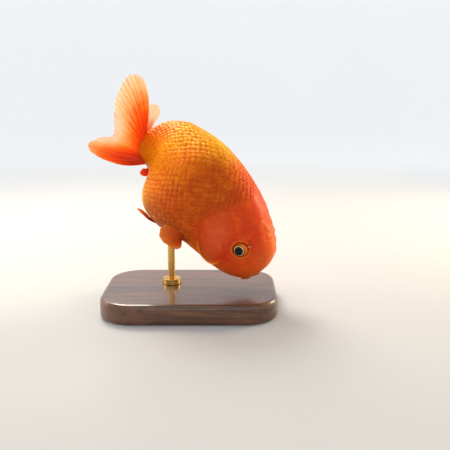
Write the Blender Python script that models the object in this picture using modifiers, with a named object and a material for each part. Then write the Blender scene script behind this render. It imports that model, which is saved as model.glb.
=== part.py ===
"""A life-size fancy goldfish of the round, dorsal-less "egg fish" type, on a display stand.

Fish frame, used by every fish piece: origin at the tip of the snout, +X forward, +Y to the
fish's left, +Z towards its back. The empty FISH_POSE carries that frame into the world, head down.
World frame: origin under the middle of the base, +Z up, the fish's right side towards -Y.
"""

import math

import bmesh
import bpy
from mathutils import Euler, Matrix, Vector

MM = 0.001

# How the fish is held in the world
HEAD_DOWN = 57.0  # degrees from level to the line from tail to snout
ROLL = 16.0  # back turned towards -Y
LEAN = 12.0  # tail end leant back, towards +Y
SNOUT_AT = (34.2 * MM, -8.0 * MM, 19.8 * MM)
GAP = 0.3 * MM  # between neighbouring pieces

# Body sections from snout to tail root, in millimetres: behind the snout and above its level,
# for the point on the back and the point on the belly, then the half width at mid height.
SECTIONS = (
    # back      belly          half width
    ((-1.2, 9.0), (-1.2, 4.0), 2.0),
    ((-0.7, 13.2), (-0.6, 1.8), 5.6),
    ((0.6, 18.0), (1.0, -1.4), 9.6),
    ((3.2, 22.0), (4.2, -4.6), 13.2),
    ((7.8, 25.8), (10.0, -9.1), 16.4),
    ((16.6, 29.6), (19.0, -13.2), 19.8),
    ((30.0, 33.2), (30.6, -16.6), 22.2),
    ((43.2, 34.6), (43.2, -21.2), 25.0),
    ((58.8, 34.3), (57.6, -27.6), 27.6),
    ((74.4, 31.8), (68.4, -28.6), 25.8),
    ((86.6, 27.0), (76.0, -25.2), 20.8),
    ((96.3, 21.3), (80.8, -19.0), 15.4),
    ((102.8, 12.8), (84.2, -14.6), 10.6),
    ((105.2, 4.0), (90.4, -14.6), 7.4),
    ((105.2, -4.2), (97.2, -16.6), 5.6),
    ((105.0, -8.0), (100.6, -15.2), 3.0),
)
BODY_SIDES = 32
RINGS_PER_SECTION = 2
SQUARENESS = (2.5, 2.1)  # superellipse power of the sections at the snout and at the tail root

NAPE = 39 * MM  # head and trunk part here, behind the snout
STALK_CUT = ((-96.8, 20.4), (-82.8, -19.8))  # (x, z) in mm: trunk and tail stalk part on this line

GILL_CENTRE = (-30.6 * MM, 4.4 * MM)
GILL_RADII = (8.8 * MM, 15.4 * MM)  # along and up
GILL_SLANT = 32.0  # degrees that its lower end leans forward
GILL_INNER = 13 * MM  # the cover's flat inside, from the middle plane

EYE_CENTRE = (-17.0 * MM, 16.5 * MM, 11.1 * MM)
EYE_RADIUS = 4.8 * MM
EYE_DEPTH = 3.9 * MM  # half thickness along its own axis
EYE_FORWARD = 4.0  # degrees that the eye looks forward

MOUTH_CENTRE = (-0.3 * MM, 0, -0.6 * MM)
MOUTH_DOWN = 32.0  # degrees that it opens below straight ahead
MOUTH_HALF_WIDTH = 3.9 * MM
MOUTH_HALF_HEIGHT = 2.3 * MM
LIP_RADIUS = 1.2 * MM
MOUTH_POCKET = 2.6 * MM

# Each fin is a fan of rays, in mm, given for the fish's right side. root: the feet of its first
# and last ray; rays: directions of the first, middle and last ray; lengths: pairs of the share
# of the way across and the ray's length there; closing: how far the tips bend to the middle;
# bow: how far the rays swell sideways; ripple: depth and number of the folds at the fan's edge.
FIN_THICK = 0.7 * MM
TAIL_RIGHT = dict(
    root=((-103.0, -1.6, -5.4), (-90.0, -2.6, -14.4)),
    rays=((-0.64, -0.23, 0.73), (-0.84, -0.46, -0.28), (-0.52, -0.45, -0.72)),
    closing=0.07, bow=3.0, ripple=(0.8, 2.0),
    lengths=(
        (0.0, 29.0), (0.05, 37.0), (0.13, 41.5), (0.24, 35.0), (0.38, 25.5), (0.54, 22.0),
        (0.68, 31.0), (0.8, 34.5), (0.91, 28.5), (1.0, 17.0),
    ),
)
TAIL_LEFT = dict(
    root=((-103.0, -1.6, -5.4), (-90.0, -2.6, -14.4)),
    rays=((-0.37, -0.89, 0.28), (-0.82, -0.56, 0.10), (-0.44, -0.21, -0.87)),
    closing=0.0, bow=-3.0, ripple=(1.0, 2.0),
    lengths=(
        (0.0, 20.0), (0.05, 28.0), (0.13, 35.5), (0.24, 36.0), (0.38, 30.0), (0.54, 22.5),
        (0.68, 26.0), (0.8, 28.0), (0.91, 25.5), (1.0, 16.0),
    ),
)
TAIL_FORK = 0.54
PECTORAL = dict(
    root=((-38.6, -18.2, -12.0), (-41.4, -14.8, -16.2)),
    rays=((-0.88, -0.38, -0.28), (-0.20, -0.72, -0.66), (0.62, -0.66, -0.15)),
    closing=0.05, bow=1.5, ripple=(0.4, 2.0),
    lengths=((0.0, 16.0), (0.2, 17.0), (0.5, 13.0), (0.75, 11.0), (1.0, 8.5)),
)
PELVIC = dict(
    root=((-54.6, -8.8, -24.7), (-57.2, -3.2, -26.1)),
    rays=((-0.93, -0.30, -0.20), (-0.95, -0.18, -0.25), (-0.96, -0.02, -0.28)),
    closing=0.05, bow=2.2, ripple=(0.2, 1.0),
    lengths=((0.0, 13.0), (0.25, 16.0), (0.55, 15.0), (0.8, 12.0), (1.0, 8.0)),
)
ANAL = dict(
    root=((-82.6, -2.7, -15.6), (-86.4, -2.2, -14.2)),
    rays=((-0.46, -0.30, -0.83), (-0.55, -0.30, -0.78), (-0.70, -0.28, -0.66)),
    closing=0.05, bow=0.4, ripple=(0.2, 1.0),
    lengths=((0.0, 3.8), (0.3, 5.6), (0.65, 5.2), (1.0, 3.4)),
)

BASE_SIZE = (104 * MM, 76 * MM, 12 * MM)
BASE_CORNER = 20 * MM
BASE_BEVEL = 2.4 * MM
ROD_AT = (-12.0 * MM, 6.0 * MM)
ROD_RADIUS = 2.2 * MM
ROD_TOP = 58 * MM
ROD_SEAT = 4 * MM  # how deep the rod stands in the base
COLLAR_RADIUS = 5.6 * MM
COLLAR_HEIGHT = 3.0 * MM

ORANGE = (0.90, 0.20, 0.015)
RED = (0.80, 0.085, 0.02)
FIN_ORANGE = (0.95, 0.24, 0.03)


def clear_scene():
    for obj in list(bpy.data.objects):
        bpy.data.objects.remove(obj)


def material(name, colour, roughness, metallic=0.0):
    made = bpy.data.materials.new(name)
    made.use_nodes = True
    shader = made.node_tree.nodes["Principled BSDF"]
    shader.inputs["Base Color"].default_value = (*colour, 1.0)
    shader.inputs["Roughness"].default_value = roughness
    shader.inputs["Metallic"].default_value = metallic
    return made


def add_object(name, mesh, collection, finish=None, parent=None):
    obj = bpy.data.objects.new(name, mesh)
    collection.objects.link(obj)
    obj.parent = parent
    if finish:
        mesh.materials.append(finish)
    return obj


def finish_mesh(bm, name, smooth_angle=40):
    bmesh.ops.recalc_face_normals(bm, faces=bm.faces)
    mesh = bpy.data.meshes.new(name)
    bm.to_mesh(mesh)
    bm.free()
    mesh.shade_smooth()
    mesh.set_sharp_from_angle(angle=math.radians(smooth_angle))
    return mesh


def spline(values, at):
    """Catmull-Rom value at a position counted in control values."""
    i = min(int(at), len(values) - 2)
    t = at - i
    before = values[max(i - 1, 0)]
    here, after = values[i], values[i + 1]
    beyond = values[min(i + 2, len(values) - 1)]
    return 0.5 * (
        2 * here
        + (after - before) * t
        + (2 * before - 5 * here + 4 * after - beyond) * t * t
        + (3 * here - before - 3 * after + beyond) * t**3
    )


def section_at(at):
    """Back point, belly point and half width, in metres, at a position counted in sections."""
    numbers = [spline([s[side][axis] for s in SECTIONS], at) for side in (0, 1) for axis in (0, 1)]
    half = spline([s[2] for s in SECTIONS], at)
    back = Vector((-numbers[0], 0, numbers[1])) * MM
    belly = Vector((-numbers[2], 0, numbers[3])) * MM
    return back, belly, half * MM


def body_ring(at, grow=0.0):
    """One cross-section of the body: a superellipse between its back and belly points."""
    back, belly, half = section_at(at)
    middle = (back + belly) / 2
    up = (back - belly) / 2
    up *= 1 + grow / up.length
    share = at / (len(SECTIONS) - 1)
    power = 2 / (SQUARENESS[0] + (SQUARENESS[1] - SQUARENESS[0]) * share)
    ring = []
    for k in range(BODY_SIDES):
        angle = 2 * math.pi * k / BODY_SIDES
        c, s = math.cos(angle), math.sin(angle)
        side = math.copysign(abs(c) ** power, c)
        height = math.copysign(abs(s) ** power, s)
        ring.append(middle + up * height + Vector((0, (half + grow) * side, 0)))
    return ring


def body_mesh(name, grow=0.0):
    """The whole body as a loft from snout to tail root, closed at both ends."""
    bm = bmesh.new()
    count = (len(SECTIONS) - 1) * RINGS_PER_SECTION
    rings = []
    for i in range(count + 1):
        points = body_ring(i / RINGS_PER_SECTION, grow)
        rings.append([bm.verts.new(p) for p in points])
    for first, second in zip(rings, rings[1:]):
        for k in range(BODY_SIDES):
            n = (k + 1) % BODY_SIDES
            bm.faces.new((first[k], first[n], second[n], second[k]))
    for ring, ahead in ((rings[0], 1.0), (rings[-1], -1.0)):
        centre = sum((v.co for v in ring), Vector()) / BODY_SIDES
        tip = bm.verts.new(centre + Vector((ahead * (0.4 * MM + grow), 0, 0)))
        for k in range(BODY_SIDES):
            bm.faces.new((ring[k], ring[(k + 1) % BODY_SIDES], tip))
    return finish_mesh(bm, name)


def cut(obj, cutter, operation="DIFFERENCE"):
    step = obj.modifiers.new(cutter.name, "BOOLEAN")
    step.operation = operation
    step.object = cutter


def helper(mesh, cutters, parent):
    """A cutter or guide, which stays out of the finished object."""
    obj = add_object(mesh.name, mesh, cutters, parent=parent)
    obj.hide_render = True
    obj.display_type = "WIRE"
    return obj


def block_mesh(name, size, centre, turn=0.0):
    """A box turned about Y, as a mesh."""
    bm = bmesh.new()
    bmesh.ops.create_cube(bm, size=1.0)
    place = Matrix.Translation(centre) @ Matrix.Rotation(turn, 4, "Y") @ Matrix.Diagonal((*size, 1))
    bmesh.ops.transform(bm, matrix=place, verts=bm.verts)
    return finish_mesh(bm, name)


def cylinder_mesh(name, radii, low, high, place, sides=32):
    """An elliptic cylinder along its own Z, from low to high, carried by place."""
    bm = bmesh.new()
    bmesh.ops.create_cone(bm, cap_ends=True, segments=sides, radius1=1, radius2=1, depth=1)
    shape = Matrix.Translation((0, 0, (low + high) / 2)) @ Matrix.Diagonal((*radii, high - low, 1))
    bmesh.ops.transform(bm, matrix=place @ shape, verts=bm.verts)
    return finish_mesh(bm, name)


def ball_mesh(name, radii, place, rings=10, segments=20):
    bm = bmesh.new()
    bmesh.ops.create_uvsphere(bm, u_segments=segments, v_segments=rings, radius=1)
    bmesh.ops.transform(bm, matrix=place @ Matrix.Diagonal((*radii, 1)), verts=bm.verts)
    return finish_mesh(bm, name)


def side_sign(side):
    return -1 if side == "right" else 1


def mirrored(vector, side):
    return Vector((vector[0], vector[1] * -side_sign(side), vector[2]))


def ray_length(fin, across):
    """Length of the ray at this share of the way across the fin, rounded between its named ones."""
    pairs = fin["lengths"]
    i = 0
    while i < len(pairs) - 2 and across > pairs[i + 1][0]:
        i += 1
    t = (across - pairs[i][0]) / (pairs[i + 1][0] - pairs[i][0])
    return spline([p[1] for p in pairs], i + t) * MM


def fin_point(fin, across, reach):
    """A point of the right fin: across from 0 to 1 over its rays, reach from 0 to 1 along the ray."""
    first, middle, last = (Vector(ray).normalized() for ray in fin["rays"])
    foot = Vector(fin["root"][0]).lerp(Vector(fin["root"][1]), across) * MM
    bent = across + fin["closing"] * (1 - 2 * across) * reach**2
    direction = spline((first, middle, last), 2 * bent).normalized()
    sideways = (first.cross(middle) + middle.cross(last)).normalized()
    sideways *= -1 if sideways.y > 0 else 1
    depth, folds = fin["ripple"]
    bow = fin["bow"] * math.sin(0.75 * math.pi * reach)
    wave = depth * math.sin(2 * math.pi * folds * across) * reach**2
    return foot + direction * ray_length(fin, across) * reach + sideways * (bow + wave) * MM


def fin_mesh(fin, side, name, span, columns, rows):
    """The rays of a fin within a span of shares across, as an open sheet. Solidify thickens it."""
    bm = bmesh.new()
    grid = []
    for i in range(columns + 1):
        across = span[0] + (span[1] - span[0]) * i / columns
        points = [fin_point(fin, across, j / rows) for j in range(rows + 1)]
        grid.append([bm.verts.new(mirrored(p, side)) for p in points])
    for a, b in zip(grid, grid[1:]):
        for j in range(rows):
            bm.faces.new((a[j], b[j], b[j + 1], a[j + 1]))
    return finish_mesh(bm, name)


def add_fin(fin, side, name, finish, parts, pose, body_room, span=(0.0, 1.0), columns=7, rows=4):
    obj = add_object(name, fin_mesh(fin, side, name, span, columns, rows), parts, finish, pose)
    thick = obj.modifiers.new("thickness", "SOLIDIFY")
    thick.thickness = FIN_THICK
    thick.offset = 0
    cut(obj, body_room)
    return obj


def lip_mesh(name, upper):
    """Half of an oval ring round the mouth: the upper or the lower lip."""
    bm = bmesh.new()
    forward = Vector((1.15, 0, 0))  # the lips stand out a little more than they are thick
    turns, sides = 10, 8
    low, high = (0, math.pi) if upper else (-math.pi, 0)
    spare = 0.10
    rings = []
    for i in range(turns + 1):
        a = low + spare + (high - low - 2 * spare) * i / turns
        radius = LIP_RADIUS * (0.72 + 0.28 * abs(math.sin(a)))
        centre = Vector((0, MOUTH_HALF_WIDTH * math.cos(a), MOUTH_HALF_HEIGHT * math.sin(a)))
        outward = Vector((0, math.cos(a), math.sin(a)))
        ring = []
        for k in range(sides):
            b = 2 * math.pi * k / sides
            ring.append(bm.verts.new(centre + (outward * math.cos(b) + forward * math.sin(b)) * radius))
        rings.append(ring)
    for first, second in zip(rings, rings[1:]):
        for k in range(sides):
            n = (k + 1) % sides
            bm.faces.new((first[k], first[n], second[n], second[k]))
    bm.faces.new(rings[0])
    bm.faces.new(rings[-1])
    bmesh.ops.transform(bm, matrix=mouth_place(), verts=bm.verts)
    return finish_mesh(bm, name)


def mouth_place():
    return Matrix.Translation(MOUTH_CENTRE) @ Matrix.Rotation(math.radians(MOUTH_DOWN), 4, "Y")


def eye_place(side):
    """The eye's own Z axis looks out of the head."""
    out = Matrix.Rotation(math.radians(-90 * side_sign(side)), 4, "X")
    ahead = Matrix.Rotation(math.radians(-side_sign(side) * EYE_FORWARD), 4, "Z")
    centre = Vector((EYE_CENTRE[0], EYE_CENTRE[1] * side_sign(side), EYE_CENTRE[2]))
    return Matrix.Translation(centre) @ ahead @ out


def gill_mesh(name, side, grow=0.0):
    """The region that parts a gill cover from the head: an oval block reaching out sideways."""
    slant = Matrix.Rotation(math.radians(-GILL_SLANT), 4, "Y")
    out = Matrix.Rotation(math.radians(-90 * side_sign(side)), 4, "X")
    place = Matrix.Translation((GILL_CENTRE[0], 0, GILL_CENTRE[1])) @ slant @ out
    radii = (GILL_RADII[0] + grow, GILL_RADII[1] + grow)
    return cylinder_mesh(name, radii, GILL_INNER - grow, 40 * MM, place)


def stalk_block(name, behind):
    """A large box behind, or ahead of, the cut between trunk and tail stalk."""
    top, bottom = (Vector((x, 0, z)) * MM for x, z in STALK_CUT)
    slope = math.atan2(top.x - bottom.x, top.z - bottom.z)
    size = 0.12
    away = Vector((-math.cos(slope), 0, math.sin(slope)))
    shift = size / 2 + GAP / 2
    centre = (top + bottom) / 2 + away * (shift if behind else -shift)
    return block_mesh(name, (size, size, size), centre, slope)


def build_flesh(parts, cutters, pose, finishes):
    """Head, gill covers, trunk and tail stalk: one body, parted by thin cuts."""
    room = 0.2
    size = (room, room, room)
    ahead = helper(block_mesh("ahead_of_nape", size, (room / 2 - NAPE + GAP / 2, 0, 0)), cutters, pose)
    behind = helper(block_mesh("behind_nape", size, (-room / 2 - NAPE - GAP / 2, 0, 0)), cutters, pose)
    stalk_side = helper(stalk_block("behind_stalk_cut", True), cutters, pose)
    trunk_side = helper(stalk_block("ahead_of_stalk_cut", False), cutters, pose)

    head = add_object("head", body_mesh("head"), parts, finishes["head"], pose)
    cut(head, ahead, "INTERSECT")
    trunk = add_object("trunk", body_mesh("trunk"), parts, finishes["body"], pose)
    cut(trunk, behind, "INTERSECT")
    cut(trunk, trunk_side, "INTERSECT")
    stalk = add_object("tail_stalk", body_mesh("tail_stalk"), parts, finishes["body"], pose)
    cut(stalk, stalk_side, "INTERSECT")

    for side in ("right", "left"):
        name = f"gill_cover_{side}"
        cover = add_object(name, body_mesh(name), parts, finishes["head"], pose)
        cut(cover, helper(gill_mesh(f"gill_block_{side}", side), cutters, pose), "INTERSECT")
        room_for_cover = helper(gill_mesh(f"gill_room_{side}", side, GAP), cutters, pose)
        cut(head, room_for_cover)
        cut(trunk, room_for_cover)
    return head, trunk


def build_eyes(head, parts, cutters, pose, finish):
    for side in ("right", "left"):
        radii = (EYE_RADIUS, EYE_RADIUS, EYE_DEPTH)
        add_object(f"eye_{side}", ball_mesh(f"eye_{side}", radii, eye_place(side)), parts, finish, pose)
        socket_radii = tuple(r + GAP for r in radii)
        cut(head, helper(ball_mesh(f"eye_room_{side}", socket_radii, eye_place(side)), cutters, pose))


def build_mouth(head, parts, cutters, pose, finish):
    for name, upper in (("upper_lip", True), ("lower_lip", False)):
        add_object(name, lip_mesh(name, upper), parts, finish, pose)
    radii = (MOUTH_HALF_WIDTH + LIP_RADIUS + GAP, MOUTH_HALF_HEIGHT + LIP_RADIUS + GAP)
    out = Matrix.Rotation(math.radians(90), 4, "Y")
    facing = mouth_place() @ out @ Matrix.Rotation(math.radians(90), 4, "Z")
    pocket = cylinder_mesh("mouth_room", radii, -MOUTH_POCKET, 12 * MM, facing, sides=32)
    cut(head, helper(pocket, cutters, pose))


def build_fins(parts, cutters, pose, finish):
    body_room = helper(body_mesh("body_room", GAP), cutters, pose)
    half_gap = GAP / (45 * MM)  # as a share of the way across, where the lobes part
    for side, tail in (("right", TAIL_RIGHT), ("left", TAIL_LEFT)):
        upper, lower = (0.0, TAIL_FORK - half_gap), (TAIL_FORK + half_gap, 1.0)
        add_fin(tail, side, f"tail_fin_{side}_upper", finish, parts, pose, body_room, upper, 10, 6)
        add_fin(tail, side, f"tail_fin_{side}_lower", finish, parts, pose, body_room, lower, 8, 6)
        for name, fin in (("pectoral", PECTORAL), ("pelvic", PELVIC), ("anal", ANAL)):
            add_fin(fin, side, f"{name}_fin_{side}", finish, parts, pose, body_room)


def build_stand(trunk, parts, cutters, wood, brass):
    """A flat wooden base with one brass rod that stands in a collar and goes into the belly."""
    bm = bmesh.new()
    bmesh.ops.create_cube(bm, size=1.0)
    bmesh.ops.scale(bm, vec=BASE_SIZE, verts=bm.verts)
    bmesh.ops.translate(bm, vec=(0, 0, BASE_SIZE[2] / 2), verts=bm.verts)
    upright = [e for e in bm.edges if abs(e.verts[0].co.z - e.verts[1].co.z) > BASE_SIZE[2] / 2]
    bmesh.ops.bevel(bm, geom=upright, offset=BASE_CORNER, segments=14, affect="EDGES", profile=0.5)
    base = add_object("stand_base", finish_mesh(bm, "stand_base"), parts, wood)
    bevel = base.modifiers.new("rounded_rim", "BEVEL")
    bevel.width = BASE_BEVEL
    bevel.segments = 3
    bevel.angle_limit = math.radians(60)

    at = Matrix.Translation((*ROD_AT, 0))
    foot = BASE_SIZE[2] - ROD_SEAT
    rod = cylinder_mesh("stand_rod", (ROD_RADIUS, ROD_RADIUS), foot, ROD_TOP, at, sides=24)
    add_object("stand_rod", rod, parts, brass)
    clear = ROD_RADIUS + GAP
    rod_room = cylinder_mesh("rod_room", (clear, clear), foot - GAP, ROD_TOP + GAP, at, sides=24)
    rod_cutter = helper(rod_room, cutters, None)
    cut(base, rod_cutter)
    cut(trunk, rod_cutter)

    low = BASE_SIZE[2] + GAP
    radii = (COLLAR_RADIUS, COLLAR_RADIUS)
    collar = cylinder_mesh("stand_collar", radii, low, low + COLLAR_HEIGHT, at)
    ring = add_object("stand_collar", collar, parts, brass)
    cut(ring, rod_cutter)


def main():
    clear_scene()
    parts = bpy.data.collections.new("fancy_goldfish")
    cutters = bpy.data.collections.new("cutters")
    for collection in (parts, cutters):
        bpy.context.scene.collection.children.link(collection)

    pose = bpy.data.objects.new("FISH_POSE", None)
    parts.objects.link(pose)
    lean = Matrix.Rotation(math.radians(-LEAN), 4, "X")
    dive = Euler((math.radians(ROLL), math.radians(HEAD_DOWN), 0), "XYZ").to_matrix().to_4x4()
    pose.matrix_world = Matrix.Translation(SNOUT_AT) @ lean @ dive

    finishes = {"head": material("red_skin", RED, 0.35), "body": material("orange_scales", ORANGE, 0.32)}
    fin_finish = material("fin_membrane", FIN_ORANGE, 0.4)
    head, trunk = build_flesh(parts, cutters, pose, finishes)
    build_eyes(head, parts, cutters, pose, material("eye_black", (0.01, 0.01, 0.012), 0.08))
    build_mouth(head, parts, cutters, pose, material("lip_pink", (0.85, 0.25, 0.12), 0.4))
    build_fins(parts, cutters, pose, fin_finish)
    wood = material("walnut", (0.09, 0.045, 0.02), 0.45)
    brass = material("brass", (0.70, 0.50, 0.22), 0.3, 1.0)
    build_stand(trunk, parts, cutters, wood, brass)


main()
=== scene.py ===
import math

import bmesh
import bpy
import numpy as np
from mathutils import Euler, Matrix, Vector, noise


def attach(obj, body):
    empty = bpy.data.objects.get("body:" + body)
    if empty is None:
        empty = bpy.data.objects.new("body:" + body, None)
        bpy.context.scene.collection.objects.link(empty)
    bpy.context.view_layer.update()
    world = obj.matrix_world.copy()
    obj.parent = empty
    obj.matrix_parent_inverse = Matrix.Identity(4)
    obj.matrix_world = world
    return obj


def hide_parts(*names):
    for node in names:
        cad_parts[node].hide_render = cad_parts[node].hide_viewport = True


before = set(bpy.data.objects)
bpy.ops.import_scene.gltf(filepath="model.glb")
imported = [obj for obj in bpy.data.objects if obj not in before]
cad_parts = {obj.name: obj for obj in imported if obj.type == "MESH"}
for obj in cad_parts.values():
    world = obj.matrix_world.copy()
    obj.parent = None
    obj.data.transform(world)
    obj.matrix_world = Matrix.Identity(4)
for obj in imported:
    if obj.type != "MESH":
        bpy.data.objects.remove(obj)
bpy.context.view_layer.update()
print("frame loaded:", len(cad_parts), "nodes")

# The fish is shaped in its own millimetres: x ahead, y to its left, z towards its back, and the
# snout tip at the origin. fishPlace then carries it to where it hangs on its stand.
pose = dict(headDown=57, roll=16, lean=12, snoutAt=(0.0342, -0.0080, 0.0198))  # degrees and metres
turned = Euler((math.radians(pose["roll"]), math.radians(pose["headDown"]), 0), "XYZ")
fishPlace = (
    Matrix.Translation(pose["snoutAt"])
    @ Matrix.Rotation(math.radians(-pose["lean"]), 4, "X")
    @ turned.to_matrix().to_4x4()
)


def ease(start, end, value):
    t = np.clip((value - start) / (end - start), 0, 1)
    return t * t * (3 - 2 * t)


def hump(value, centre, width):
    return np.exp(-(((value - centre) / width) ** 2))


def spline(values, at):  # smooth curve through the values, at counted in values
    values = np.asarray(values, float)
    at = np.clip(np.asarray(at, float), 0, len(values) - 1)
    first = np.minimum(at.astype(int), len(values) - 2)
    t = at - first
    if values.ndim > 1:
        t = t[..., None]
    last = len(values) - 1
    before, here, after, beyond = (values[np.clip(first + k, 0, last)] for k in (-1, 0, 1, 2))
    return 0.5 * (
        2 * here
        + (after - before) * t
        + (2 * before - 5 * here + 4 * after - beyond) * t * t
        + (3 * here - before - 3 * after + beyond) * t**3
    )


def unit(vectors):
    return vectors / np.maximum(np.linalg.norm(vectors, axis=-1, keepdims=True), 1e-9)


def wobble(points, size, seed):
    return np.array([noise.noise(p) for p in (points / size + seed * 7.3).tolist()])


def readPoints(mesh):
    flat = np.empty(len(mesh.vertices) * 3)
    mesh.vertices.foreach_get("co", flat)
    return flat.reshape(-1, 3)


def readNormals(mesh):
    flat = np.empty(len(mesh.vertices) * 3)
    mesh.vertex_normals.foreach_get("vector", flat)
    return flat.reshape(-1, 3)


def writePoints(mesh, points):
    mesh.vertices.foreach_set("co", points.ravel())
    mesh.update()


def addValues(mesh, **values):
    for name, amounts in values.items():
        layer = mesh.attributes.new(name, "FLOAT", "POINT")
        layer.data.foreach_set("value", np.asarray(amounts, float))


def addMap(mesh, name, across, along):
    corners = np.empty(len(mesh.loops), int)
    mesh.loops.foreach_get("vertex_index", corners)
    layer = mesh.uv_layers.new(name=name)
    layer.data.foreach_set("uv", np.stack((across[corners], along[corners]), 1).ravel())


def newMesh(bm, name):
    mesh = bpy.data.meshes.new(name)
    bm.to_mesh(mesh)
    bm.free()
    return mesh


def faceOutward(mesh, spare=()):  # and leave out the spare vertices
    bm = bmesh.new()
    bm.from_mesh(mesh)
    bm.verts.ensure_lookup_table()
    if len(spare):
        bmesh.ops.delete(bm, geom=[bm.verts[int(k)] for k in spare], context="VERTS")
    bmesh.ops.recalc_face_normals(bm, faces=bm.faces)
    bm.to_mesh(mesh)
    bm.free()


def carried(points, place):
    place = np.array(place)
    return points @ place[:3, :3].T + place[:3, 3]


def toStand(points):
    return carried(points * 0.001, fishPlace)


def finishPiece(mesh, finish, replaced=()):
    mesh.shade_smooth()
    mesh.materials.clear()
    mesh.materials.append(finish)
    piece = bpy.data.objects.new(mesh.name, mesh)
    bpy.context.scene.collection.objects.link(piece)
    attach(piece, "root")
    if replaced:
        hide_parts(*replaced)


body = dict(
    sections=(  # (back s, h), (belly s, h), half width: s behind the snout, h above its tip
        ((-1.2, 9.0), (-1.2, 4.0), 2.0),
        ((-0.7, 13.2), (-0.6, 1.8), 5.6),
        ((0.6, 18.0), (1.0, -1.4), 9.6),
        ((3.2, 22.0), (4.2, -4.6), 13.2),
        ((7.8, 25.8), (10.0, -9.1), 16.4),
        ((16.6, 29.6), (19.0, -13.2), 19.8),
        ((30.0, 33.2), (30.6, -16.6), 22.2),
        ((43.2, 34.6), (43.2, -21.2), 25.0),
        ((58.8, 34.3), (57.6, -27.6), 27.6),
        ((74.4, 31.8), (68.4, -28.6), 25.8),
        ((86.6, 27.0), (76.0, -25.2), 20.8),
        ((96.3, 21.3), (80.8, -19.0), 15.4),
        ((102.8, 12.8), (84.2, -14.6), 10.6),
        ((105.2, 4.0), (90.4, -14.6), 7.4),
        ((105.2, -4.2), (97.2, -16.6), 5.6),
        ((105.0, -8.0), (100.6, -15.2), 3.0),
    ),
    squareness=(2.5, 2.1),  # roundness of the sections at the snout and at the tail root
    length=105.0,
)
backLine = np.array([(-s[0][0], 0, s[0][1]) for s in body["sections"]])
bellyLine = np.array([(-s[1][0], 0, s[1][1]) for s in body["sections"]])
halfWidths = np.array([s[2] for s in body["sections"]])
lastSection = len(halfWidths) - 1


def sectionPoint(at, angle):
    back, belly = spline(backLine, at), spline(bellyLine, at)
    low, high = body["squareness"]
    power = 2 / (low + (high - low) * at / lastSection)
    side = np.sign(np.cos(angle)) * np.abs(np.cos(angle)) ** power
    height = np.sign(np.sin(angle)) * np.abs(np.sin(angle)) ** power
    point = (back + belly) / 2 + (back - belly) / 2 * height[..., None]
    point[..., 1] += spline(halfWidths, at) * side
    return point


# share runs round a section by length: 0 belly, 0.25 left side, 0.5 back, 0.75 right side
atCount, angleCount, shareCount = 451, 721, 361
atGrid = np.linspace(0, lastSection, atCount)
angleGrid = np.linspace(-math.pi / 2, 1.5 * math.pi, angleCount)
shareGrid = np.linspace(0, 1, shareCount)
hoops = sectionPoint(
    np.repeat(atGrid[:, None], angleCount, 1), np.repeat(angleGrid[None], atCount, 0)
)
steps = np.linalg.norm(np.diff(hoops, axis=1), axis=-1)
lengths = np.concatenate((np.zeros((atCount, 1)), np.cumsum(steps, 1)), 1)
girths = lengths[:, -1]
angleAt = np.array([np.interp(shareGrid, row / row[-1], angleGrid) for row in lengths])
# mm along the body from each place in atGrid to the next
strides = np.linalg.norm(np.diff(hoops[:, ::60], axis=0), axis=-1).mean(1)


def bodyPoint(at, share):
    at = np.clip(at, 0, lastSection)
    i = np.clip(at / lastSection * (atCount - 1), 0, atCount - 1.001)
    j = np.clip(np.mod(share, 1.0) * (shareCount - 1), 0, shareCount - 1.001)
    a, b = i.astype(int), j.astype(int)
    u, v = i - a, j - b
    low = angleAt[a, b] * (1 - v) + angleAt[a, b + 1] * v
    high = angleAt[a + 1, b] * (1 - v) + angleAt[a + 1, b + 1] * v
    return sectionPoint(at, low * (1 - u) + high * u)


def bodyNormal(at, share):
    ahead, aside = 0.03, 0.004
    along = bodyPoint(at + ahead, share) - bodyPoint(at - ahead, share)
    around = bodyPoint(at, share + aside) - bodyPoint(at, share - aside)
    return unit(np.cross(along, around))


def drawnIn(points, at, share):  # towards the middle of their section
    middle = (spline(backLine, at) + spline(bellyLine, at)) / 2
    return middle + (points - middle) * share[:, None]


def girthAt(at):
    return np.interp(at, atGrid, girths)


def rowTable(stepAt):  # how many rows of that spacing lie ahead of each place in atGrid
    middle = (atGrid[1:] + atGrid[:-1]) / 2
    return np.concatenate(([0], np.cumsum(strides / stepAt(middle))))


def backShare(share):  # 0 at the belly, 1 at the back
    return 1 - np.abs(np.mod(share, 1.0) * 2 - 1)


# Places, sizes and how far each feature stands out or sinks in, in mm, and angles in degrees.
gill = dict(
    centre=(-30.6, 4.4), radii=(8.8, 15.4), slant=32,
    raised=0.42, furrow=0.34, foreEdge=0.12, cheekFold=0.13, ridges=0.10, flap=0.75,
)
eye = dict(
    centre=(-17.0, 16.5, 11.1), radius=4.8, depth=3.9, forward=4, low=0.18,
    dome=0.94, lens=0.08, groove=0.02,  # of its front, in depths
    sink=0.80, pocket=3.2, rim=0.50, outerRim=0.12,  # of its socket
)
mouth = dict(
    centre=(-0.3, 0, -0.6), down=32, halfWidth=3.9, halfHeight=2.3, lip=0.80, pocket=3.0, crease=0.60,
)
nostril = dict(
    centre=(-15.8, 15.7), ahead=(0.80, -0.60), apart=1.5, radius=0.95, depth=0.95, rim=0.25, flap=0.9,
)
finRoots = (  # foot of first ray, foot of last ray, swelling, its width
    ((-38.6, 18.2, -12.0), (-41.4, 14.8, -16.2), 1.1, 2.8),
    ((-54.6, 8.8, -24.7), (-57.2, 3.2, -26.1), 0.8, 2.6),
    ((-82.6, 2.7, -15.6), (-86.4, 2.2, -14.2), 0.5, 1.8),
)


def bothSides(points):
    return np.stack((points[:, 0], np.abs(points[:, 1]), points[:, 2]), 1)


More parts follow.
